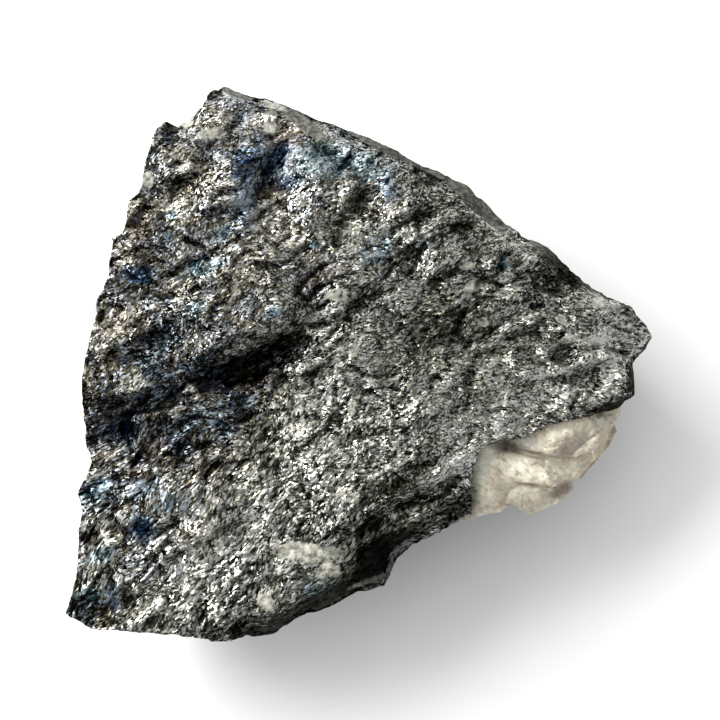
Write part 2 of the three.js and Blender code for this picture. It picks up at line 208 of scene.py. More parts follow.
# Tarnish: an oval, the thickness of the film and its cover.
TARNISH = (
    (-6.6, 16, 1.9, 1.2, 20, 0.64, 1), (-2.6, 15.6, 2.4, 1.6, -10, 0.86, 0.9),
    (0.4, 15.2, 1.6, 1.3, -20, 0.84, 0.7), (-8.7, 14.9, 0.8, 1.7, -15, 0.6, 1),
    (-8.8, 12.2, 0.8, 1.9, -8, 0.66, 0.9), (-5.2, 14.2, 1.5, 0.8, 10, 0.74, 0.8),
    (2.2, 13.6, 0.8, 1.6, 0, 0.74, 0.7), (1.4, 8.7, 1.5, 1.1, 20, 0.78, 0.6),
    (-10.2, 10, 1, 0.7, 20, 0.86, 0.8), (-11.9, 7.4, 2, 0.7, 15, 0.84, 0.7),
    (-16.8, 6.9, 1.5, 0.7, 0, 0.62, 0.8), (-11.4, 5.6, 0.6, 0.4, 30, 0.48, 0.8),
    (-12.4, 4.2, 1, 0.7, 0, 0.84, 0.7), (-3.4, 9.1, 0.6, 0.4, 0, 0.8, 0.7),
    (-6.4, 3.9, 0.8, 0.5, 10, 0.74, 0.7), (-14.6, 9.8, 0.5, 0.4, 0, 0.82, 0.8),
    (-14.4, 11.4, 0.5, 0.4, 0, 0.8, 0.8), (-8, 10.6, 0.5, 0.5, 0, 0.52, 0.7),
    (-14.6, -1.6, 3.6, 1.4, 10, 0.68, 0.36), (-12.6, -4.6, 2.6, 1.2, 18, 0.76, 0.4),
    (-18.2, -4.8, 1.6, 1, 0, 0.5, 0.4), (-9.1, -3.1, 1.5, 1.2, 0, 0.66, 0.4),
    (-20.4, -9.9, 1.3, 1, 25, 0.82, 0.8), (-16.5, -9.7, 2.4, 0.9, 20, 0.76, 0.5),
    (-14.4, -10.7, 1.6, 0.8, 30, 0.76, 0.55), (-17, -12.8, 1, 1, 30, 0.72, 0.9),
    (-20.2, -15, 1.6, 0.6, 10, 0.84, 0.7), (-21, -18.2, 0.9, 0.8, 0, 0.88, 0.7),
    (-19.2, -18.4, 0.6, 1.2, 0, 0.62, 0.6), (-3.6, -17.4, 1.3, 0.6, 10, 0.76, 0.5),
    (11.3, 7.6, 0.8, 0.5, 0, 0.86, 0.7), (5.6, 9.6, 0.6, 0.5, 0, 0.8, 0.6),
    (-5.6, 17.4, 1.4, 0.6, 20, 0.27, 0.8), (-6.3, 13.1, 0.9, 0.8, 0, 0.27, 0.7),
    (-16.9, 10.4, 1.2, 0.9, 20, 0.33, 0.6), (-8.8, -1.4, 2.4, 0.8, 15, 0.36, 0.7),
    (2.6, 11.6, 1.2, 0.9, 0, 0.3, 0.5), (-16.5, -6.9, 2.4, 0.6, 20, 0.33, 0.4),
    (-18.5, 3, 2.2, 0.9, 10, 0.2, 0.5), (-17.6, -8.7, 1.6, 0.5, 10, 0.3, 0.5),
    (-2.6, 6.6, 2, 0.8, 25, 0.36, 0.5), (-13.2, -13.2, 2, 0.6, 20, 0.25, 0.5),
)

# Painted highlights (above 0) and painted shade (below 0), partly also fresher cleavage and duller
# ore: an oval and its stops.
SHEEN_AND_SHADE_AREAS = (
    (20, 2.5, 3.4, 2.4, -20, 1.6), (16.6, -2.2, 3.6, 1.6, 12, 2.4), (10.3, -5.2, 3.2, 1.8, 15, 2.2),
    (-14.5, -16, 5.5, 3.4, 30, 1.5), (-8.8, -11.2, 4.8, 3, 30, 0.8), (-4.8, -6.2, 3, 2.2, 20, 0.3),
    (0, -4.5, 5, 3.5, 0, 0.25), (10.4, 0.8, 4.2, 2.6, 10, 0.5), (-6.9, 11.6, 2.5, 3, -15, 1.5),
    (0.5, 11.5, 4, 2.5, 0, 0.5), (2.4, 7.2, 2.2, 2, 0, 0.5), (-2.4, 2.4, 2.2, 1.6, 10, 0.5),
    (-13, -18.8, 4.5, 1, -5, 0.5), (11.6, 5.2, 1.6, 0.7, 30, 1.3), (-16.8, 12.5, 2.8, 4.5, -15, -0.9),
    (-16.8, 6.8, 2.6, 2, 10, -1.3), (-14.6, 1.8, 4.8, 1.8, 20, -1.8), (-20.4, -2.2, 1.6, 3, 0, -1.6),
    (-16, -4.5, 4.5, 3.2, 10, -1), (-7.6, -2.4, 3.6, 1.8, 20, -1.6), (-11.4, -6.8, 3.6, 1.6, 25, -1.5),
    (-16.2, -11.4, 2.2, 1.6, 20, -1.5), (6.4, 2.8, 4.4, 1.8, 10, -1.5), (16.3, 7, 2.4, 1.8, -35, -2.1),
    (7, 12.6, 8, 2, -35, -0.8), (3.6, -11, 4.5, 2.4, 28, -1.8), (2, -15.2, 3.4, 1.8, 38, -4.6),
    (-3, -18.6, 3.6, 1.2, 25, -2.5), (-8, -20.6, 3.4, 1.3, 5, -2.2), (-20.8, -19.4, 2, 1.5, -10, -2.1),
    (-6.2, 1, 3.6, 1.6, 24, -0.5), (19.6, -3.5, 2, 0.7, 12, -3), (21.6, -1.1, 0.8, 1.7, 0, -2.4),
    (8.4, -10.8, 0.9, 1.1, 0, -2), (11.6, -6.1, 1.2, 0.4, 8, -2.4), (18, 3, 0.5, 0.7, 0, -2),
    (-2.6, 17.9, 1.3, 0.5, -30, 1.3), (7, -8.4, 2, 1.1, 40, 3.3), (-12.3, 0, 2.8, 0.9, 22, -1.5),
    (17.4, 0.6, 4.4, 1.4, 6, 1.6), (-19.6, -3.8, 2, 2.8, 0, -0.9), (-19, -18.4, 2.4, 1.5, 0, -0.9),
    (12, 9.2, 1.9, 1, -35, 1.7), (-9.6, 12.8, 1.5, 1.2, 0, 1.8), (3.4, -12.1, 1.6, 0.8, 30, 1.8),
    (-15.4, 9.2, 2, 1.3, 10, -0.8), (6.2, 6.4, 1.8, 1.2, 0, -0.7), (-5.9, 15.7, 1.3, 1.4, -15, 1.5),
    (-8.8, 14.8, 0.8, 1.9, -15, -1.5), (6.8, -12, 1.8, 0.7, 30, -1), (-9.6, 18.9, 1.8, 1, 0, 1.1),
    (-12.6, 0.4, 1.6, 0.8, 22, -0.8), (0.4, 9.8, 1.6, 1.2, 0, 0.6), (-21.4, -9.6, 0.9, 1.4, 0, -0.8),
    (3, -9.1, 3.2, 0.8, 41, -1.1), (6.3, -2.9, 2.2, 1.3, 10, 0.7), (-18.6, 9.4, 1.2, 1.3, 0, 0.9),
)

# Calcite grown in the face: an oval and its strength.
CALCITE_SPOTS = (
    (-4, -14.7, 2.6, 0.75, -2, 0.85), (-2.3, -16.1, 0.9, 0.55, 0, 0.9), (-7.2, -18.7, 0.6, 0.8, 30, 0.85),
    (-0.5, -3.5, 0.35, 0.6, 0, 0.75), (-0.8, -10.2, 0.9, 0.55, 0, 0.6), (-1.5, 5.2, 1.4, 0.55, -5, 0.65),
    (-0.6, 1, 1, 0.45, 0, 0.6), (8.4, 7.5, 0.6, 0.4, 10, 0.75), (8.5, 5.7, 0.4, 0.8, -25, 0.7),
    (9.6, 3.2, 0.45, 0.4, 0, 0.8), (15.7, 3.4, 0.5, 0.35, -30, 0.8), (18.7, 4.9, 0.6, 0.6, -30, 0.85),
    (16.4, 1.9, 0.75, 0.3, 10, 0.8), (-6.6, 20.1, 1.1, 0.35, -20, 0.8), (-6.9, 18.3, 0.6, 0.5, 0, 0.7),
    (-11.4, 17.7, 1.2, 0.5, 0, 0.65), (-16.3, 14.2, 0.5, 0.7, 0, 0.85), (-13.4, 18.9, 0.5, 0.6, -30, 0.9),
    (3.5, -14.6, 1.5, 0.4, 38, 0.62), (2.5, -16.4, 0.3, 0.9, -15, 0.62), (0.8, -17.2, 1.7, 0.25, 20, 0.75),
    (8.2, -12.5, 1.2, 0.3, 28, 0.9),
)

# The calcite block's lobes: an oval and its height. Then how they fall off, their lowest level, their
# share in the height, and a crease's half width and depth.
CALCITE_LOBES = (
    (15.3, -5.7, 3, 1.3, 15, 0.75), (13.2, -8.3, 3.5, 1.25, -24, 0.35), (13.6, -10.7, 1.9, 1.1, 8, 0.15),
    (10.3, -9.8, 1.7, 1.7, 0, 0.1), (18.5, -6.8, 1.9, 1.5, 40, 0.1), (16, -10, 1.1, 0.8, 30, -0.25),
    (19, -4.6, 1.1, 0.8, 20, 0), (10.6, -6.7, 1.8, 1.2, -30, 0.05),
)
LOBE_FALL, LOBE_FLOOR, LOBE_SHARE = 0.55, -0.5, 0.8
CREASE_WIDTH, CREASE_DEPTH = 0.12, 0.12

# How rosy the block is in its creases and on its side, partly its own colour and partly painted shade.
# Then where it is rosy brown (partly painted shade under a ledge and along a crease), grey and clearer,
# and white (partly a painted highlight where the block faces the light): an oval and its strength.
ROSY_AND_SHADE_SHARE = 0.7
ROSY_AND_SHADE_SPOTS = (
    (16.1, -10.1, 1.1, 0.55, 30, 1), (20.2, -5.6, 0.3, 1.5, -25, 1), (18.1, -8.7, 2, 0.2, 50, 1),
    (14.4, -9.7, 2.2, 0.16, -8, 1), (14.6, -7.2, 1.9, 0.14, -12, 1), (17, -6.9, 1.8, 1, 35, 0.4),
)
GREY_SPOTS = ((9.6, -8, 0.9, 3.2, -8, 1), (12.7, -6.1, 1.4, 0.6, -15, 1), (19.2, -4.6, 0.9, 0.5, 20, 1))
WHITE_AND_HIGHLIGHT_SPOTS = (
    (12.6, -8.2, 2.6, 0.8, -22, 1), (15.2, -5.7, 1.5, 0.6, 15, 0.7), (17.9, -6.6, 1, 0.3, 38, 0.6),
    (13.9, -10.1, 0.5, 0.2, 30, 1), (15.6, -8.4, 0.6, 0.2, -40, 1),
)
# Lighter and darker areas of the block, partly its own tone and partly painted light and shade: an oval
# and its stops.
CALCITE_TONE_AND_SHADE = (
    (17.1, -6.5, 1.7, 1.2, 30, -0.4), (13.6, -10.6, 2.2, 1, 5, -0.4), (16, -10, 1.1, 0.7, 30, -0.6),
    (10, -8.4, 1, 2.6, -8, 0.6), (11.7, -6.6, 1.2, 0.4, -8, -2.2), (13.6, -7.1, 1.4, 0.3, -20, -0.5),
    (8.8, -10.4, 0.6, 1.6, 0, -1.5), (9.1, -7.6, 0.4, 1.2, 0, -0.8),
)

# Mesh fineness: grid squares from middle to rim of the face and of the underside, and flank rows.
FACE_RINGS, UNDER_RINGS, FLANK_ROWS = 120, 60, 22
CALCITE_RINGS, CALCITE_UNDER_RINGS, CALCITE_ROWS = 60, 30, 14

# Film colours as it thickens: straw, bronze, brown, violet, deep blue, blue, pale blue, cyan.
FILM_COLOURS = (
    (0.0, (0.95, 0.95, 0.84)), (0.2, (0.92, 0.84, 0.66)), (0.34, (0.78, 0.67, 0.5)),
    (0.46, (0.54, 0.49, 0.56)), (0.58, (0.28, 0.38, 0.61)), (0.7, (0.33, 0.54, 0.83)),
    (0.84, (0.54, 0.8, 0.98)), (1.0, (0.68, 0.92, 0.88)),
)
# Stops that flakes swing either way, the share left under a film, and the lightest that grains get.
FLAKE_STOPS, CALMED, LIGHTEST = 2.9, 0.66, 0.71
# The metal's own stops without a film and under one
METAL_STOPS = (-3.0, -2.7)
METAL_COLOUR = (0.953, 0.963, 0.873)
GLINT_COLOUR = (0.97, 0.98, 0.95)
WORN_COLOURS = ((0.09, 0.09, 0.083), (0.27, 0.265, 0.24))
SPOT_COLOURS = ((0.09, 0.094, 0.082), (0.36, 0.355, 0.305))
ROSY_AND_SHADE_COLOUR = (0.16, 0.09, 0.052)
GREY_COLOUR = (0.56, 0.57, 0.49)
PAPER_COLOURS = ((0.64, 0.648, 0.655), (0.68, 0.685, 0.69))
ROOM_COLOURS = ((0.2, 0.202, 0.205), (1.0, 0.99, 0.97))
CALCITE_COLOURS = ((0.3, (0.4, 0.33, 0.245)), (0.5, (0.56, 0.51, 0.4)), (0.78, (0.78, 0.742, 0.615)))
ORE_FIELDS = ("film", "cover", "calcite", "worn", "painted_sheen_and_shade", "recess")
CALCITE_FIELDS = ("rosy_and_shade", "grey", "white_and_highlight", "tone_and_painted_shade")
SHADES = ("Flake Shade", "Chip Shade", "Grain Shade")
ORE_GRAINS = {"Grain": 1.7, "Flake": 0.2, "Stretch": 1.9, "Turn": 0.5, "Grain Tip": 0.38}
CALCITE_GRAINS = {"Grain": 2.4, "Flake": 0.26, "Stretch": 2.6, "Turn": -0.4, "Tip": 0.5, "Grain Tip": 0.22}
ORE_SURFACE = {"Specular Tint": (0.4, 0.4, 0.4, 1)}
CALCITE_SURFACE = {"Subsurface Weight": 0.25, "Subsurface Scale": 0.0006,
                   "Subsurface Radius": (1.0, 0.8, 0.62), "IOR": 1.55}
PAPER_ROUGHNESS = 0.8


def smooth(x, low, high):
    """0 below low, 1 above high, 3t^2 - 2t^3 between."""
    t = np.clip((x - low) / (high - low), 0, 1)
    return t * t * (3 - 2 * t)


def lattice_value(i, j, k):
    """A repeatable number from 0 to 1 at lattice points: the fraction of a large sine."""
    s = np.sin(i * 127.1 + j * 311.7 + k * 74.7) * 43758.5453
    return s - np.floor(s)


def creased_noise(x, y, z):
    """Noise from -1 to 1: lattice values blended straight across each cell."""
    x, y, z = np.broadcast_arrays(x, y, np.asarray(z, dtype=float))
    i, j, k = np.floor(x), np.floor(y), np.floor(z)
    u, v, w = x - i, y - j, z - k
    total = 0.0
    for di in (0, 1):
        for dj in (0, 1):
            for dk in (0, 1):
                weight = (u if di else 1 - u) * (v if dj else 1 - v) * (w if dk else 1 - w)
                total = total + weight * lattice_value(i + di, j + dj, k + dk)
    return 2 * total - 1


def raised_noise(x, y, z):
    """The same noise from 0 to 1."""
    return 0.5 + 0.5 * creased_noise(x, y, z)


def drawn_out(x, y, turn):
    """Coordinates along and across a direction."""
    c, s = math.cos(turn), math.sin(turn)
    return x * c + y * s, y * c - x * s


def broken_facets(x, y, size, step, slope, seed, turn, stretch):
    """Steps and slopes of broken grains: each point takes the plane of its nearest scattered centre,
    at a random height up to step, with a random slope and a lean that makes each drop to the lower right.
    """
    along, across = drawn_out(x, y, turn)
    along, across = along / (size * stretch), across / size
    i, j = np.floor(along), np.floor(across)
    nearest = np.full(np.shape(along), 1e9)
    height = np.zeros(np.shape(along))
    for di in (-1, 0, 1):
        for dj in (-1, 0, 1):
            ci, cj = i + di, j + dj
            at_x, at_y, tip_x, tip_y, rise = (lattice_value(ci, cj, seed + k) for k in range(5))
            dx = along - ci - 0.5 - 0.8 * (at_x - 0.5)
            dy = across - cj - 0.5 - 0.8 * (at_y - 0.5)
            away = dx * dx + dy * dy + 0.5 * np.abs(dx * dy)
            lean = 0.8 * stretch * dx * (2 * tip_x - 1) + dy * (2 * tip_y - 1.45)
            plane = step * (2 * rise - 1) + slope * size * lean
            height = np.where(away < nearest, plane, height)
            nearest = np.minimum(away, nearest)
    return height


def facet_layers(x, y, layers, turn, stretch=1.6):
    """The sum of several layers of broken facets."""
    return sum(broken_facets(x, y, *layer, turn, stretch) for layer in layers)


def crevices(x, y, turn):
    """Short cracks along the streaks: a crease where drawn-out noise crosses zero, broken up by
    coarser noise.
    """
    along, across = drawn_out(x, y, turn)
    line = creased_noise(along / CREVICE_SIZE[0], across / CREVICE_SIZE[1], 21.5)
    breaks = creased_noise(along / CREVICE_BREAKS[0], across / CREVICE_BREAKS[1], 33.5)
    return np.exp(-(line / CREVICE_WIDTH) ** 2) * smooth(breaks, -0.05, 0.4)


def by_region(x, y, pattern):
    """A pattern drawn out in each region's own direction, blended from one region to the next."""
    tip = smooth(x, 5, 15)
    low = smooth(-y - 0.4 * x, 6, 15) * (1 - tip)
    shares = (1 - tip - low, tip, low)
    return sum(share * pattern(turn) for share, turn in zip(shares, STREAK_TURNS))


def crack_lines(x, y):
    """The single cracks: each as deep as it says on its line, and a bell curve across it."""
    depth = 0.0
    for (ax, ay), (bx, by), deep in CRACKS:
        dx, dy = bx - ax, by - ay
        along = np.clip(((x - ax) * dx + (y - ay) * dy) / (dx * dx + dy * dy), 0, 1)
        away = np.hypot(x - ax - along * dx, y - ay - along * dy)
        depth = np.maximum(depth, deep * np.exp(-(away / CRACK_WIDTH) ** 2))
    return depth


def ledge_rise(x, y, ledge):
    """A slow rise up to a lip, exp(-distance / back), and a smooth drop past it, fading at both ends."""
    (ax, ay), (bx, by), height, back = ledge
    dx, dy = bx - ax, by - ay
    length = math.hypot(dx, dy)
    along = ((x - ax) * dx + (y - ay) * dy) / length
    behind = ((y - ay) * dx - (x - ax) * dy) / length
    ends = 1.0
    for distance in (along, length - along):
        ends = ends * smooth(distance, -0.12 * length, 0.3 * length)
    drop = LEDGE_FACE[0] + LEDGE_FACE[1] * height
    profile = np.where(behind > 0, np.exp(-np.maximum(behind, 0) / back), smooth(behind, -drop, 0))
    return height * ends * profile


def oval(x, y, spot):
    """Squared distance from a spot's centre, in its own half length and half width."""
    cx, cy, long, short, turn = spot[:5]
    along, across = drawn_out(x - cx, y - cy, math.radians(turn))
    u, v = along / long, across / short
    return u * u + v * v


def dent(x, y, hollow):
    """Depth of a hollow, its own depth times exp(-distance cubed)."""
    return hollow[5] * np.exp(-(oval(x, y, hollow) ** 1.5))


def face_height(x, y):
    """Height of the broken face: a dome, streaked lumps, ledges and hollows."""
    dome = FACE_FALL[0] * (x - FACE_CROWN[0]) ** 2 + FACE_FALL[1] * (y - FACE_CROWN[1]) ** 2
    along, across = drawn_out(x, y, GRAIN_TURN)
    z = FACE_HEIGHT - dome
    for size, height, seed in FACE_LUMPS:
        z = z + height * creased_noise(along / size, across / (STREAK * size), seed)
    for ledge in LEDGES:
        z = z + ledge_rise(x, y, ledge)
    for hollow in HOLLOWS:
        z = z - dent(x, y, hollow)
    return z


def underside_height(x, y):
    """Flat where the lump rests, then the highest of the fracture planes, roughened as it rises."""
    rise = 0.0
    for faces, reach, slope in ORE_PLANES:
        a = math.radians(faces)
        rise = np.maximum(rise, (x * math.cos(a) + y * math.sin(a) - reach) * math.tan(math.radians(slope)))
    return rise + UNDERSIDE_ROUGHNESS * raised_noise(x / 4.3, y / 4.3, 3.5) * smooth(rise, 0, 1.5)


def outline_point(outline, station):
    """The point of a closed outline at a station from 0 to 1 round it, straight between its points."""
    count = len(outline)
    place = (station % 1) * count
    i = np.floor(place).astype(int) % count
    share = (place - np.floor(place))[..., None]
    return outline[i] * (1 - share) + outline[(i + 1) % count] * share


def settled_point(outline, station, settling):
    """Halfway between the outline's points a little to each side, which evens out its teeth."""
    spread = settling / len(outline)
    return (outline_point(outline, station - spread) + outline_point(outline, station + spread)) / 2


def span(place, first, last, low=1.0, high=0.0):
    """1 between two outline points: it rises from low before the first to high past it, and falls over
    the same length to 0 at the point after the last.
    """
    return smooth(place, first - low, first + high) * smooth(last + 1 - place, 0, low + high)


def ore_inset(station, level):
    """How far the ore's flank leans in: from the first inset to the second by level and noise, eased in
    under the rim, and not at all on the calcite contact.
    """
    contact = span(station * len(ORE_OUTLINE), *CONTACT)
    around = station * 2 * math.pi
    rough = raised_noise(4.5 * np.cos(around), 4.5 * np.sin(around), 3.4 * level)
    lean = FLANK_INSET[0] + (FLANK_INSET[1] - FLANK_INSET[0]) * (0.4 * level + 0.6 * rough)
    return lean * smooth(level, 0, 0.3) * (1 - contact)


def along_rim(station, first, last):
    """1 between two of the outline's points, fading to 0 past them."""
    count = len(ORE_OUTLINE)
    place = station * count
    return span(np.where(place < first - 2, place + count, place), first, last, 1, 1)


def rim_drop(inward, station):
    """How far the worn slopes lower the rim at a distance in from it."""
    drop = 0.0
    for first, last, width, fall in RIM_SLOPES:
        slope = fall * np.maximum(0, 1 - inward / width)
        drop = np.maximum(drop, slope * along_rim(station, first, last))
    return drop


def crumble(station, seed):
    """How far a broken edge bites in from the outline: coarse and fine noise along it, less a little so
    that the outline keeps its size.
    """
    around = station * 2 * math.pi
    x, y = np.cos(around), np.sin(around)
    bites = (deep * raised_noise(often * x, often * y, seed + shift) ** peak
             for often, deep, peak, shift in CRUMBS)
    return sum(bites) - CRUMB_LIFT


def square_rings(count):
    """A square grid's rings, from 0 in the middle to 1 at the edge, and stations from 0 to 1 round them."""
    line = np.linspace(-1, 1, 2 * count + 1)
    u, v = np.meshgrid(line, line)
    ring = np.maximum(np.abs(u), np.abs(v))
    safe = np.where(ring < 1e-9, 1, ring)
    a, b = u / safe, v / safe
    sides = [a > 1 - 1e-6, b > 1 - 1e-6, a < -1 + 1e-6]
    station = np.select(sides, [(b + 1) / 8, 0.25 + (1 - a) / 8, 0.5 + (1 - b) / 8], 0.75 + (a + 1) / 8)
    return ring, np.where(ring < 1e-9, 0, station % 1)


def rim_loop(count):
    """Indices of a square grid's edge, in order of station."""
    side = 2 * count
    k = np.arange(side)
    rows = np.concatenate([k, np.full(side, side), side - k, np.zeros(side, int)])
    columns = np.concatenate([np.full(side, side), side - k, np.zeros(side, int), k])
    return rows * (side + 1) + columns


def lump_faces(rings, under_rings, rows):
    """Quads of the face and flank, triangles that halve the rim, and quads of the underside."""
    def grid_quads(count, first):
        index = first + np.arange((2 * count + 1) ** 2).reshape(2 * count + 1, -1)
        return np.stack([index[:-1, :-1], index[:-1, 1:], index[1:, 1:], index[1:, :-1]], -1).reshape(-1, 4)

    around = 8 * rings
    face_count = (2 * rings + 1) ** 2
    loops = [rim_loop(rings)] + [face_count + r * around + np.arange(around) for r in range(rows - 1)]
    quads = [grid_quads(rings, 0)]
    for upper, lower in zip(loops[:-1], loops[1:]):
        quads.append(np.stack([upper, lower, np.roll(lower, -1), np.roll(upper, -1)], -1))
    under_first = face_count + (rows - 1) * around
    fine = loops[-1].reshape(-1, 2)
    coarse = under_first + rim_loop(under_rings)
    after, next_coarse = np.roll(fine[:, 0], -1), np.roll(coarse, -1)
    triangles = [
        np.stack([fine[:, 0], coarse, fine[:, 1]], -1),
        np.stack([fine[:, 1], coarse, next_coarse], -1),
        np.stack([fine[:, 1], next_coarse, after], -1),
    ]
    quads.append(grid_quads(under_rings, under_first)[:, ::-1])
    return np.concatenate(quads), np.concatenate(triangles)


def placed(name, data, at):
    """An object at a place in millimetres."""
    thing = bpy.data.objects.new(name, data)
    thing.location = [v * MM for v in at]
    bpy.context.scene.collection.objects.link(thing)
    return thing


def mesh_object(name, points, quads, triangles=(), fields=None):
    """A mesh from points in millimetres, its faces, and named fields with one value for each point."""
    mesh = bpy.data.meshes.new(name)
    mesh.vertices.add(len(points))
    mesh.vertices.foreach_set("co", (points * MM).astype(np.float32).ravel())
    triangles = np.asarray(triangles, int).reshape(-1, 3)
    corners = np.concatenate([quads.ravel(), triangles.ravel()])
    sizes = np.concatenate([np.full(len(quads), 4), np.full(len(triangles), 3)])
    mesh.loops.add(len(corners))
    mesh.loops.foreach_set("vertex_index", corners.astype(np.int32))
    mesh.polygons.add(len(sizes))
    starts = np.concatenate([[0], np.cumsum(sizes)[:-1]])
    mesh.polygons.foreach_set("loop_start", starts.astype(np.int32))
    mesh.polygons.foreach_set("use_smooth", np.ones(len(sizes), bool))
    for field, values in (fields or {}).items():
        layer = mesh.attributes.new(field, "FLOAT", "POINT")
        layer.data.foreach_set("value", np.asarray(values, np.float32).ravel())
    mesh.update()
    mesh.validate()
    return placed(name, mesh, (0, 0, 0))


def split(at):
    """The x and y of points."""
    return at[..., 0], at[..., 1]


def lifted(at, z):
    """A list of points from their x and y and their heights."""
    return np.concatenate([at, z[..., None]], -1).reshape(-1, 3)


def flank_grid(rings, rows):
    """Stations round a flank and levels down it, between its rim and its foot."""
    around = 8 * rings
    return np.meshgrid(np.arange(around) / around, np.arange(1, rows) / rows)


def on_ring(outline, centre, station, ring, settling, lean):
    """Points a share of the way from the centre to the outline, leaning in by a distance at the rim."""
    rim = settled_point(outline, station, settling)
    reach = np.hypot(*(rim - centre).T).T
    share = ring - lean / reach * ring ** 6
    return centre + (rim - centre) * share[..., None], reach


def blur(grid, radius):
    """Mean of a square grid over a square window, by running sums."""
    padded = np.pad(grid, radius + 1, mode="edge")
    sums = padded.cumsum(0).cumsum(1)
    w = 2 * radius + 1
    total = sums[w:, w:] - sums[:-w, w:] - sums[w:, :-w] + sums[:-w, :-w]
    return total[: grid.shape[0], : grid.shape[1]] / w ** 2


def nearness(x, y, spot, inner, outer):
    """1 in a spot, fading to 0 from an inner to an outer share of its size."""
    return 1 - smooth(np.sqrt(oval(x, y, spot)), inner, outer)


def tarnish(x, y):
    """Thickness of the tarnish, the mean of the patches near a point, and the most that they cover."""
    film, total, cover = 0.0, 1e-6, 0.0
    for patch in TARNISH:
        near = nearness(x, y, patch, 0.3, 1.7)
        film, total = film + near * patch[5], total + near
        cover = np.maximum(cover, near * patch[6])
    return film / total, cover


def stops_of(x, y, areas):
    """Stops of brightness that areas add or take away, each with a soft edge."""
    return sum(area[5] * nearness(x, y, area, 0.3, 1.6) for area in areas)


def in_spots(x, y, spots, inner, outer):
    """The strength of the spots at a point, and the greatest of them where spots meet."""
    share = np.zeros(np.shape(x))
    for spot in spots:
        share = np.maximum(share, spot[5] * nearness(x, y, spot, inner, outer))
    return share


def finish_fields(x, y):
    """The fields that the ore's material reads, apart from how deep in a recess a point is."""
    film, cover = tarnish(x, y)
    calcite, worn = in_spots(x, y, CALCITE_SPOTS, 0.6, 1.6), in_spots(x, y, WORN_SPOTS, 0.5, 1.5)
    return dict(zip(ORE_FIELDS, (film, cover, calcite, worn, stops_of(x, y, SHEEN_AND_SHADE_AREAS))))


def on_ore_ring(station, ring, settling, lean):
    """Points a share of the way out to the ore's outline, and how far out that is."""
    return on_ring(ORE_OUTLINE, ORE_CENTRE, station, ring, settling, lean)


def ore_face():
    """The broken face on a square grid: the solids' face with finer facets, cracks and a crumbled rim."""
    ring, station = square_rings(FACE_RINGS)
    at, reach = on_ore_ring(station, ring, 0, crumble(station, ORE_CRUMB_SEED))
    x, y = split(at)
    inward = (1 - ring) * reach
    fields = finish_fields(x, y)
    worn, spots = np.minimum(fields["worn"], 1), fields["calcite"]
    z = face_height(x, y) - rim_drop(inward, station) - dent(x, y, LIP_HOLLOW)
    fine = (1 - WORN_CALM * worn) * (1 - SPOT_CALM * spots)
    bent = [v + BEND_SHIFT * creased_noise(x / BEND_SIZE, y / BEND_SIZE, seed)
            for v, seed in zip((x, y), BEND_SEEDS)]
    z = z + fine * by_region(x, y, lambda turn: facet_layers(*bent, FACE_FACETS, turn))
    z = z - fine * CREVICE_DEPTH * by_region(x, y, lambda turn: crevices(*bent, turn))
    z = z - crack_lines(x, y)
    rise, lumps, size = SPOT_RISE
    z = z + spots * (rise + lumps * creased_noise(x / size, y / size, 4.5))
    fields["recess"] = sum(weight * (blur(z, radius) - z) for radius, weight in RECESS_BLURS)
    return lifted(at, z), fields


def ore_flank():
    """Rows down the flank: heights go evenly from the rim's to the underside's, and facets lean the rows
    in. The rim's fields fade out down them.
    """
    station, level = flank_grid(FACE_RINGS, FLANK_ROWS)
    ones = np.ones(station.shape)
    bites = crumble(station, ORE_CRUMB_SEED)
    rim, _ = on_ore_ring(station, ones, 0, bites)
    top = face_height(*split(rim)) - rim_drop(0 * ones, station)
    foot, _ = on_ore_ring(station, ones, SETTLING, ore_inset(station, ones))
    z = top + (underside_height(*split(foot)) - top) * level
    facets = facet_layers(ORE_ROUND * station, z, FLANK_FACETS, 0.5)
    lean = ore_inset(station, level) + (1 - level) * bites + smooth(level, 0, 0.12) * (0.4 + facets)
    at, _ = on_ore_ring(station, ones, SETTLING * level, lean)
    fields = finish_fields(*split(rim))
    fade = 1 - smooth(level + 0.15 * creased_noise(90 * station, z / 1.5, 6.5), 0.02, 0.3)
    for name in ("cover", "calcite", "worn", "painted_sheen_and_shade"):
        fields[name] = fields[name] * fade
    fields["worn"] = np.maximum(fields["worn"], FLANK_WORN)
    # On the flank the facets' lean takes the place of the recess, for its painted highlight and shade.
    fields["recess"] = 1.2 * facets
    return lifted(at, z), fields


def ore_underside():
    """The underside on a square grid: the solids' fracture planes with broken facets."""
    ring, station = square_rings(UNDER_RINGS)
    lean = ore_inset(station, np.ones(station.shape))
    rim = settled_point(ORE_OUTLINE, station, SETTLING)
    reach = np.hypot(*(rim - ORE_CENTRE).T).T
    at = ORE_CENTRE + (rim - ORE_CENTRE) * (ring * (1 - lean / reach))[..., None]
    x, y = split(at)
    z = underside_height(x, y)
    z = z + smooth(z, 0.0, 1.2) * (0.4 + facet_layers(x, y, UNDERSIDE_FACETS, 1.9))
    return lifted(at, np.maximum(z, 0))


def make_ore():
    """The ore's face, flank and underside in one closed mesh."""
    face, face_fields = ore_face()
    flank, flank_fields = ore_flank()
    under = ore_underside()
    fields = {}
    for name, values in face_fields.items():
        rest = np.full(len(under), FLANK_WORN if name == "worn" else 0.0)
        fields[name] = np.concatenate([values.ravel(), flank_fields[name].ravel(), rest])
    faces = lump_faces(FACE_RINGS, UNDER_RINGS, FLANK_ROWS)
    return mesh_object("ore_lump", np.concatenate([face, flank, under]), *faces, fields)


def calcite_lobes(x, y):
    """The calcite's soft lobes: the highest of a set of paraboloids, which leaves a crease where two meet,
    and how deep in a crease a point is.
    """
    heights = [lobe[5] - LOBE_FALL * oval(x, y, lobe) for lobe in CALCITE_LOBES]
    ranked = np.sort(np.stack(heights), axis=0)
    crease = np.exp(-((ranked[-1] - ranked[-2]) / CREASE_WIDTH) ** 2) * smooth(ranked[-1], LOBE_FLOOR, 0.2)
    return np.maximum(ranked[-1], LOBE_FLOOR), crease


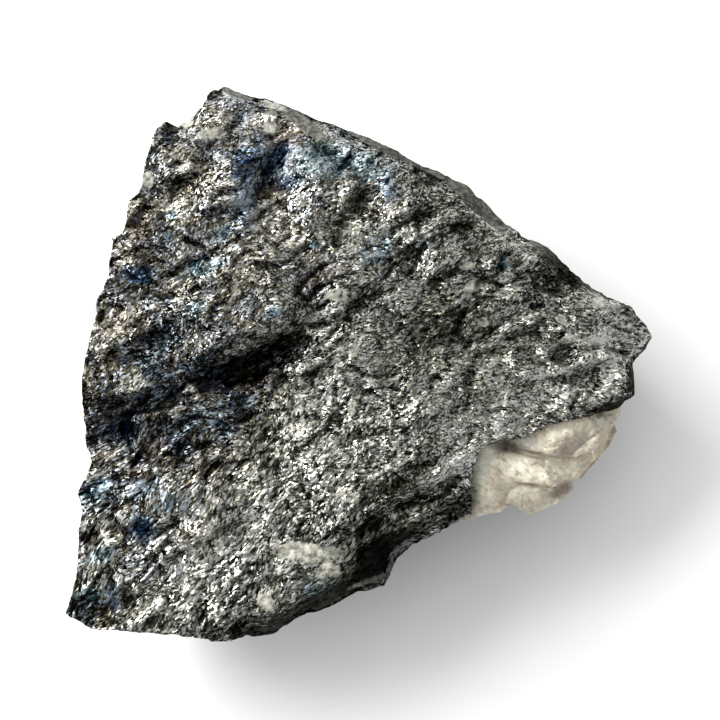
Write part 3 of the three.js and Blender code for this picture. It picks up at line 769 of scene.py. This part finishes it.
def calcite_height(x, y):
    """The calcite's top: it falls away from the ore in soft steps and lobes, with a faint grain."""
    out = (x - CALCITE_BACK[0]) * CALCITE_WAY[0] + (y - CALCITE_BACK[1]) * CALCITE_WAY[1]
    z = CALCITE_TOP - CALCITE_FALL * out * out + 0.3 * creased_noise(x / 2.2, y / 2.2, 11.5)
    for ledge in CALCITE_LEDGES:
        z = z + 0.6 * ledge_rise(x, y, ledge)
    lobes, crease = calcite_lobes(x, y)
    z = z + LOBE_SHARE * lobes - CREASE_DEPTH * crease
    return z + facet_layers(x, y, CALCITE_FACETS, CLEAVAGE_TURN, 2.2)


def calcite_foot(x, y):
    """Height of the calcite's underside: two gentle slopes, roughened."""
    tilt = 0.3 * np.maximum(0, x - 13) + 0.22 * np.maximum(0, -y - 8)
    return CALCITE_FOOT + tilt + 0.5 * raised_noise(x / 2.6, y / 2.6, 5.5)


def calcite_outline():
    """The block's outline: its free edge, then the ore's outline along the contact, moved out a little."""
    contact = ORE_OUTLINE[CONTACT[0]: CONTACT[1] + 1][::-1]
    away = contact - CALCITE_CENTRE
    moved = contact + away / np.hypot(*away.T)[:, None] * CONTACT_OVERLAP
    return np.concatenate([CALCITE_FREE_EDGE, moved])


def calcite_edge(station):
    """1 along the block's free edge, fading to 0 where it meets the ore."""
    place = station * len(calcite_outline())
    return smooth(place, -1, 1) * smooth(len(CALCITE_FREE_EDGE) - place, 0, 1.5)


def calcite_inset(station, level):
    """How far the block's free side leans in: an inset times the level down it and noise along it."""
    place = station * len(calcite_outline())
    rough = 0.6 + 0.4 * creased_noise(place / 2.4, 2 * level, 1.5)
    return CALCITE_INSET * level * calcite_edge(station) * rough


def calcite_bites(station):
    """How far the block's free edge is crumbled away: a share of such bites as the ore's rim has."""
    return CALCITE_CRUMB_SHARE * crumble(station, CALCITE_CRUMB_SEED) * calcite_edge(station)


def on_calcite_ring(station, ring, lean):
    """Points a share of the way out to the block's outline."""
    return on_ring(calcite_outline(), CALCITE_CENTRE, station, ring, 0, lean)[0]


def calcite_side():
    """Rows down the block's side: heights go evenly from the top's to the foot's, and facets lean the
    rows in.
    """
    station, level = flank_grid(CALCITE_RINGS, CALCITE_ROWS)
    ones = np.ones(station.shape)
    bites = calcite_bites(station)
    top = calcite_height(*split(on_calcite_ring(station, ones, bites)))
    foot = on_calcite_ring(station, ones, calcite_inset(station, ones))
    z = top + (calcite_foot(*split(foot)) - top) * level
    facets = facet_layers(CALCITE_ROUND * station, z, CALCITE_SIDE_FACETS, 0.9, 1.4)
    lean = calcite_inset(station, level) + (1 - level) * bites + smooth(level, 0, 0.15) * (0.2 + facets)
    return lifted(on_calcite_ring(station, ones, lean), z)


def make_calcite():
    """The calcite block's top, side and underside in one closed mesh."""
    ring, station = square_rings(CALCITE_RINGS)
    at = on_calcite_ring(station, ring, calcite_bites(station))
    face = lifted(at, calcite_height(*split(at)))
    ring, station = square_rings(CALCITE_UNDER_RINGS)
    at = on_calcite_ring(station, ring, calcite_inset(station, np.ones(station.shape)))
    under = lifted(at, calcite_foot(*split(at)))
    points = np.concatenate([face, calcite_side(), under])
    faces = lump_faces(CALCITE_RINGS, CALCITE_UNDER_RINGS, CALCITE_ROWS)
    x, y = split(points)
    # Rose-brown in the creases and on the side and underside: partly the block's own colour, partly painted
    # shade.
    rosy_and_shade = np.maximum(ROSY_AND_SHADE_SHARE * calcite_lobes(x, y)[1], in_spots(x, y, ROSY_AND_SHADE_SPOTS, 0.5, 1.3))
    rosy_and_shade[len(face):] = ROSY_AND_SHADE_SHARE
    # Whitish spots: partly whiter calcite, partly a painted highlight where the block faces the light.
    grey, white_and_highlight = in_spots(x, y, GREY_SPOTS, 0.4, 1.5), in_spots(x, y, WHITE_AND_HIGHLIGHT_SPOTS, 0.2, 1.5)
    fields = dict(zip(CALCITE_FIELDS, (rosy_and_shade, grey, white_and_highlight, stops_of(x, y, CALCITE_TONE_AND_SHADE))))
    return mesh_object("calcite_block", points, *faces, fields)


class Nodes:
    """Short calls for building a node tree."""

    def __init__(self, tree):
        self.tree = tree

    def add(self, kind, inputs=None, **settings):
        """A node of a kind, with its settings made and its sockets filled."""
        node = self.tree.nodes.new(kind)
        for name, value in settings.items():
            setattr(node, name, value)
        self.fill(node, inputs or {})
        return node

    def fill(self, node, inputs):
        """Constants and links put on a node's own sockets."""
        for name, value in inputs.items():
            self.put(node.inputs[name], value)

    def put(self, socket, value):
        """A link or a constant on a socket."""
        if isinstance(value, bpy.types.NodeSocket):
            self.tree.links.new(value, socket)
        else:
            socket.default_value = value

    def math(self, operation, a, b=0.0, clamp=False):
        node = self.add("ShaderNodeMath", {0: a, 1: b}, operation=operation, use_clamp=clamp)
        return node.outputs[0]

    def times(self, a, b):
        return self.math("MULTIPLY", a, b)

    def vector(self, operation, a, b=(0, 0, 0)):
        node = self.add("ShaderNodeVectorMath", {0: a, 1: b}, operation=operation)
        return node.outputs[0]

    def scaled(self, a, factor):
        node = self.add("ShaderNodeVectorMath", {0: a, "Scale": factor}, operation="SCALE")
        return node.outputs[0]

    def between(self, value, low, high, to_low=0.0, to_high=1.0):
        """A smooth change from one number to another as a value goes from low to high."""
        inputs = {"Value": value, "From Min": low, "From Max": high, "To Min": to_low, "To Max": to_high}
        return self.add("ShaderNodeMapRange", inputs, interpolation_type="SMOOTHSTEP").outputs[0]

    def colour(self, factor, a, b, blend="MIX"):
        """Two colours mixed, each a socket or numbers."""
        node = self.add("ShaderNodeMix", data_type="RGBA", blend_type=blend)
        self.put(node.inputs[0], factor)
        for i, value in ((6, a), (7, b)):
            self.put(node.inputs[i], (*value, 1) if isinstance(value, tuple) else value)
        return node.outputs[2]

    def place(self):
        """Where a point is on its piece, in millimetres."""
        return self.scaled(self.add("ShaderNodeTexCoord").outputs["Object"], 1000.0)

    def light(self, stops):
        """The brightness that stops stand for: 2 to their power."""
        return self.math("POWER", 2.0, stops)

    def parts(self, vector):
        return self.add("ShaderNodeSeparateXYZ", {0: vector}).outputs

    def swing(self, value, amount):
        """Half the amount either way as a value goes from 0 to 1."""
        return self.times(self.math("SUBTRACT", value, 0.5), amount)

    def centred(self, colour):
        """A random colour as a vector whose parts go from -0.5 to 0.5."""
        return self.vector("SUBTRACT", colour, (0.5, 0.5, 0.5))

    def total(self, *terms):
        result = terms[0]
        for term in terms[1:]:
            result = self.math("ADD", result, term)
        return result

    def noise(self, at, scale, detail=3.0, output="Fac"):
        inputs = {"Vector": at, "Scale": scale, "Detail": detail, "Roughness": 0.6}
        return self.add("ShaderNodeTexNoise", inputs).outputs[output]

    def cells(self, at, scale):
        return self.add("ShaderNodeTexVoronoi", {"Vector": at, "Scale": scale}, voronoi_dimensions="3D")

    def ramp(self, factor, stops):
        node = self.add("ShaderNodeValToRGB", {"Fac": factor})
        marks = node.color_ramp.elements
        while len(marks) < len(stops):
            marks.new(0.5)
        for mark, (place, colour) in zip(marks, stops):
            mark.position = place
            mark.color = (*colour, 1)
        return node.outputs[0]

    def shaded(self, colour, factor):
        """A colour times a brightness."""
        grey = self.add("ShaderNodeCombineXYZ", {0: factor, 1: factor, 2: factor}).outputs[0]
        return self.colour(1.0, colour, grey, "MULTIPLY")

    def field(self, name):
        return self.add("ShaderNodeAttribute", attribute_name=name).outputs["Fac"]


def new_group(name, inputs, outputs):
    """A shader node group with float inputs and the named outputs; returns it with its ends."""
    group = bpy.data.node_groups.new(name, "ShaderNodeTree")
    for label, value in inputs.items():
        socket = group.interface.new_socket(label, in_out="INPUT", socket_type="NodeSocketFloat")
        socket.default_value = value
    for label, kind in outputs.items():
        group.interface.new_socket(label, in_out="OUTPUT", socket_type=kind)
    start = group.nodes.new("NodeGroupInput")
    end = group.nodes.new("NodeGroupOutput")
    return group, Nodes(group), start, end


def grain_group():
    """Cleaved grains, each cut into chips, flakes and flecks, drawn out in the grain's own direction. Each
    level tips the surface's normal. Lengths are in millimetres, the turn in radians.
    """
    inputs = {"Grain": 2.0, "Flake": 0.2, "Stretch": 2.0, "Turn": 0.5, "Tip": 0.5, "Grain Tip": 0.3}
    outputs = {"Normal": "NodeSocketVector", **{name: "NodeSocketFloat" for name in SHADES}}
    group, n, start, end = new_group("cleaved_grains", inputs, outputs)
    take = start.outputs
    place = n.place()
    wander = n.centred(n.noise(place, 0.8, 2.0, "Color"))
    bent = n.vector("ADD", place, n.scaled(wander, 1.2))
    grain = n.cells(bent, n.math("DIVIDE", 1.0, take["Grain"]))
    parts = n.parts(grain.outputs["Color"])
    middle = n.parts(grain.outputs["Position"])
    turn = n.math("ADD", n.times(n.math("SUBTRACT", parts[0], 0.5), 0.9), take["Turn"])
    low = n.math("ADD", middle[1], n.times(middle[0], 0.4))
    turn = n.total(turn, n.between(middle[0], 4, 18, 0, -0.55), n.between(low, -15, -6, 0.3, 0))
    stretch = n.times(take["Stretch"], n.between(low, -15, -6, 1.5, 1))
    inward = n.times(turn, -1.0)
    rotate = n.add("ShaderNodeVectorRotate", {"Vector": place, "Angle": inward}, rotation_type="Z_AXIS")
    shrink = n.add("ShaderNodeCombineXYZ", {0: n.math("DIVIDE", 1.0, stretch), 1: 1.0, 2: 1.0})
    drawn = n.vector("MULTIPLY", rotate.outputs[0], shrink.outputs[0])
    fleck_tip = n.times(take["Tip"], 0.7)
    levels = (("chip", 0.33, take["Grain Tip"]), ("flake", 1.0, take["Tip"]), ("fleck", 1.8, fleck_tip))
    tips = n.scaled(n.centred(grain.outputs["Color"]), take["Grain Tip"])
    shades = {}
    for name, fineness, tip in levels:
        random = n.cells(drawn, n.math("DIVIDE", fineness, take["Flake"])).outputs["Color"]
        tips = n.vector("ADD", tips, n.scaled(n.centred(random), tip))
        shades[name] = n.parts(random)[0]
    normal = n.add("ShaderNodeNewGeometry").outputs["Normal"]
    n.fill(end, {"Normal": n.vector("NORMALIZE", n.vector("ADD", normal, tips))})
    fine = n.total(n.times(shades["flake"], 0.42), n.times(shades["fleck"], 0.58))
    n.fill(end, dict(zip(SHADES, (fine, shades["chip"], parts[1]))))
    return group


def new_material(name):
    """A material, with its node tree and its shader."""
    material = bpy.data.materials.new(name)
    material.use_nodes = True
    n = Nodes(material.node_tree)
    shader = material.node_tree.nodes["Principled BSDF"]
    return material, n, shader


def ore_material(grains):
    """Tarnished metal. Its brightness is a sum of stops, each a doubling or halving: flakes, chips and
    grains at random, clouds, the areas' painted highlights and painted shade, a painted highlight on ridges
    and painted shade in recesses. The film's colour multiplies it, deeper on dark grains and paler on
    bright ones, and flakes under a film differ less.
    """
    material, n, shader = new_material("tarnished_skutterudite")
    place = n.place()
    # bright carries the areas' painted highlights and painted shade, in stops.
    film, cover, calcite, worn, bright, recess = map(n.field, ORE_FIELDS)
    cloudy = n.noise(place, 0.9, 4.0)
    broad = n.noise(place, 0.28, 3.0)
    patchy = n.noise(place, 2.6, 3.0)

    stone_here = n.between(n.total(calcite, n.swing(patchy, 1.4)), 0.42, 0.6)
    worn_here = n.between(n.total(worn, n.swing(patchy, 1.2), n.swing(cloudy, 0.8)), 0.4, 0.55)
    cleaved = n.add("ShaderNodeGroup", node_tree=grains)
    n.fill(cleaved, ORE_GRAINS)
    calm = n.math("MAXIMUM", stone_here, worn_here)
    n.put(cleaved.inputs["Tip"], n.between(calm, 0, 1, 1.0, 0.2))
    flake, chip, grain = (cleaved.outputs[name] for name in SHADES)

    # Painted light: a painted highlight on ridges and painted shade in recesses.
    edges = n.between(recess, -0.1, -0.45, 0, 0.5)
    painted_recess_shade = n.between(recess, 0.08, 0.6, 0, -2.4)
    sharp = n.between(flake, 0.2, 0.8, -FLAKE_STOPS, FLAKE_STOPS)
    sharp = n.times(sharp, n.between(cover, 0.3, 0.9, 1, CALMED))
    random = n.total(sharp, n.swing(chip, 1.5), n.swing(grain, 1.1), n.swing(cloudy, 1.3))
    stops = n.total(random, bright, edges, painted_recess_shade, n.between(cover, 0.3, 0.9, *METAL_STOPS))
    shade = n.math("MINIMUM", n.light(stops), LIGHTEST)

    film_now = n.total(film, n.swing(cloudy, 0.35), n.swing(flake, 0.3))
    haze_now = n.total(n.times(broad, 1.5), n.swing(flake, 1.1), -0.38)
    cover_now = n.total(cover, n.swing(flake, 1.6), n.swing(cloudy, 1.2))
    x, y, _ = n.parts(place)
    leftward = n.between(n.math("SUBTRACT", n.times(y, 0.45), x), 0, 14, 0.12, 0.55)
    tint = n.colour(leftward, METAL_COLOUR, n.ramp(haze_now, FILM_COLOURS))
    covered = n.between(cover_now, 0.25, 0.95)
    tint = n.colour(covered, tint, n.ramp(film_now, FILM_COLOURS))
    deep = n.vector("MULTIPLY", n.vector("MULTIPLY", tint, tint), tint)
    tint = n.colour(n.between(stops, -4.5, -1.8), deep, tint)
    paler = n.times(n.between(stops, -2.3, -0.2, 0, 0.6), n.between(covered, 0, 1, 1, 0.85))
    tint = n.colour(paler, tint, GLINT_COLOUR)
    metal = n.shaded(tint, shade)
    # The areas' painted shade, below 0, also darkens the worn patches and the calcite spots.
    painted_shade_stops = n.math("MINIMUM", bright, 0.0)
    weathered = n.colour(n.between(patchy, 0.35, 0.7), *WORN_COLOURS)
    weathered = n.shaded(weathered, n.light(n.total(painted_shade_stops, n.swing(flake, 0.8))))
    metal = n.colour(worn_here, metal, weathered)
    stone = n.colour(n.between(patchy, 0.3, 0.7), *SPOT_COLOURS)
    shade_over_spots = n.light(n.times(painted_shade_stops, 0.5))
    stone = n.shaded(stone, n.times(shade_over_spots, n.between(calcite, 0.3, 0.9, 0.45, 1.0)))
    metallic = n.math("SUBTRACT", 1.0, stone_here, clamp=True)
    n.fill(shader, {"Base Color": n.colour(stone_here, metal, stone), "Metallic": metallic})
    n.fill(shader, {"Roughness": n.between(chip, 0, 1, 0.3, 0.5), "Normal": cleaved.outputs["Normal"]})
    n.fill(shader, ORE_SURFACE)
    return material


def calcite_material(grains):
    """Cream and slightly translucent, rose-brown, grey and whitish in places, with fine cleaved grains. The
    rose-brown is partly its own colour and partly painted shade in creases and on its side, the whitish
    spots partly a painted highlight, and the areas' stops partly tone and partly painted light and shade.
    """
    material, n, shader = new_material("pink_calcite")
    place = n.place()
    rosy_and_shade, grey, white_and_highlight, tone_and_painted_shade = map(n.field, CALCITE_FIELDS)
    cleaved = n.add("ShaderNodeGroup", node_tree=grains)
    n.fill(cleaved, CALCITE_GRAINS)
    cloudy = n.noise(place, 0.7, 5.0)
    flake = cleaved.outputs["Flake Shade"]
    # The whitish spots lift the cream: partly whiter calcite, partly a painted highlight.
    mottled = n.total(cloudy, n.swing(flake, 0.25), n.times(white_and_highlight, 0.24))
    cream = n.ramp(mottled, CALCITE_COLOURS)
    # Rose-brown: partly the block's own colour, partly painted shade in creases, under a ledge and on the
    # side.
    rosiness_and_shade = n.times(rosy_and_shade, n.between(cloudy, 0.3, 0.7, 0.9, 0.5))
    greyness = n.times(grey, n.between(cloudy, 0.3, 0.6, 0.5, 0.9))
    colour = n.colour(greyness, n.colour(rosiness_and_shade, cream, ROSY_AND_SHADE_COLOUR), GREY_COLOUR)
    # The areas' stops: partly the block's own tone, partly painted light and shade.
    n.fill(shader, {"Base Color": n.shaded(colour, n.light(tone_and_painted_shade))})
    rough = n.between(flake, 0.2, 0.8, 0.2, 0.6)
    n.fill(shader, {"Roughness": rough, "Normal": cleaved.outputs["Normal"]})
    n.fill(shader, CALCITE_SURFACE)
    return material


def floor_material():
    """Matt pale paper with a faint broad mottling."""
    material, n, shader = new_material("pale_paper")
    mottling = n.colour(n.noise(n.place(), 0.08, 4.0), *PAPER_COLOURS)
    n.fill(shader, {"Base Color": mottling, "Roughness": PAPER_ROUGHNESS})
    return material


def make_floor():
    """A flat square of paper that the lump lies on, in the plane z = 0."""
    corners = FLOOR_HALF * np.array([(-1, -1, 0), (1, -1, 0), (1, 1, 0), (-1, 1, 0)])
    floor = mesh_object("floor", corners, np.array([[0, 1, 2, 3]]))
    floor.data.materials.append(floor_material())


def make_window():
    """A broad window beyond the picture's upper left, turned to the lump."""
    lamp = bpy.data.lights.new("window", "AREA")
    lamp.shape = "RECTANGLE"
    lamp.size, lamp.size_y = (v * MM for v in WINDOW_SIZE)
    lamp.energy = WINDOW_WATTS
    lamp.color = WINDOW_COLOUR
    thing = placed("window", lamp, WINDOW_AT)
    thing.rotation_euler = (-thing.location).to_track_quat("-Z", "Y").to_euler()


def make_room():
    """A pale room that is brightest on the window's side."""
    world = bpy.data.worlds.new("pale_room")
    world.use_nodes = True
    n = Nodes(world.node_tree)
    way = n.add("ShaderNodeTexCoord").outputs["Generated"]
    towards = n.add("ShaderNodeVectorMath", {0: way, 1: BRIGHT_SIDE}, operation="DOT_PRODUCT")
    glow = n.between(towards.outputs["Value"], 0.1, 0.95)
    background = world.node_tree.nodes["Background"]
    n.put(background.inputs["Color"], n.colour(glow, *ROOM_COLOURS))
    background.inputs["Strength"].default_value = ROOM_STRENGTH
    bpy.context.scene.world = world


def make_camera():
    """A camera that looks straight down at the face."""
    camera = bpy.data.cameras.new("camera")
    camera.sensor_width = SENSOR
    camera.lens = SENSOR * (CAMERA_AT[2] - FACE_LEVEL) / FRAME_WIDTH
    camera.clip_start = 0.01
    bpy.context.scene.camera = placed("camera", camera, CAMERA_AT)


def main():
    """The two pieces in place of the solids, the floor, the light and the camera."""
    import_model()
    grains = grain_group()
    pieces = (
        (make_ore, ore_material, "skutterudite", "ore"),
        (make_calcite, calcite_material, "calcite", "calcite"),
    )
    for make, material, node, slot in pieces:
        piece = make()
        piece.data.materials.append(material(grains))
        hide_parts(node)
        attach(piece, "root")
    make_floor()
    make_window()
    make_room()
    make_camera()
    bpy.context.scene.view_settings.view_transform = "Standard"


main()
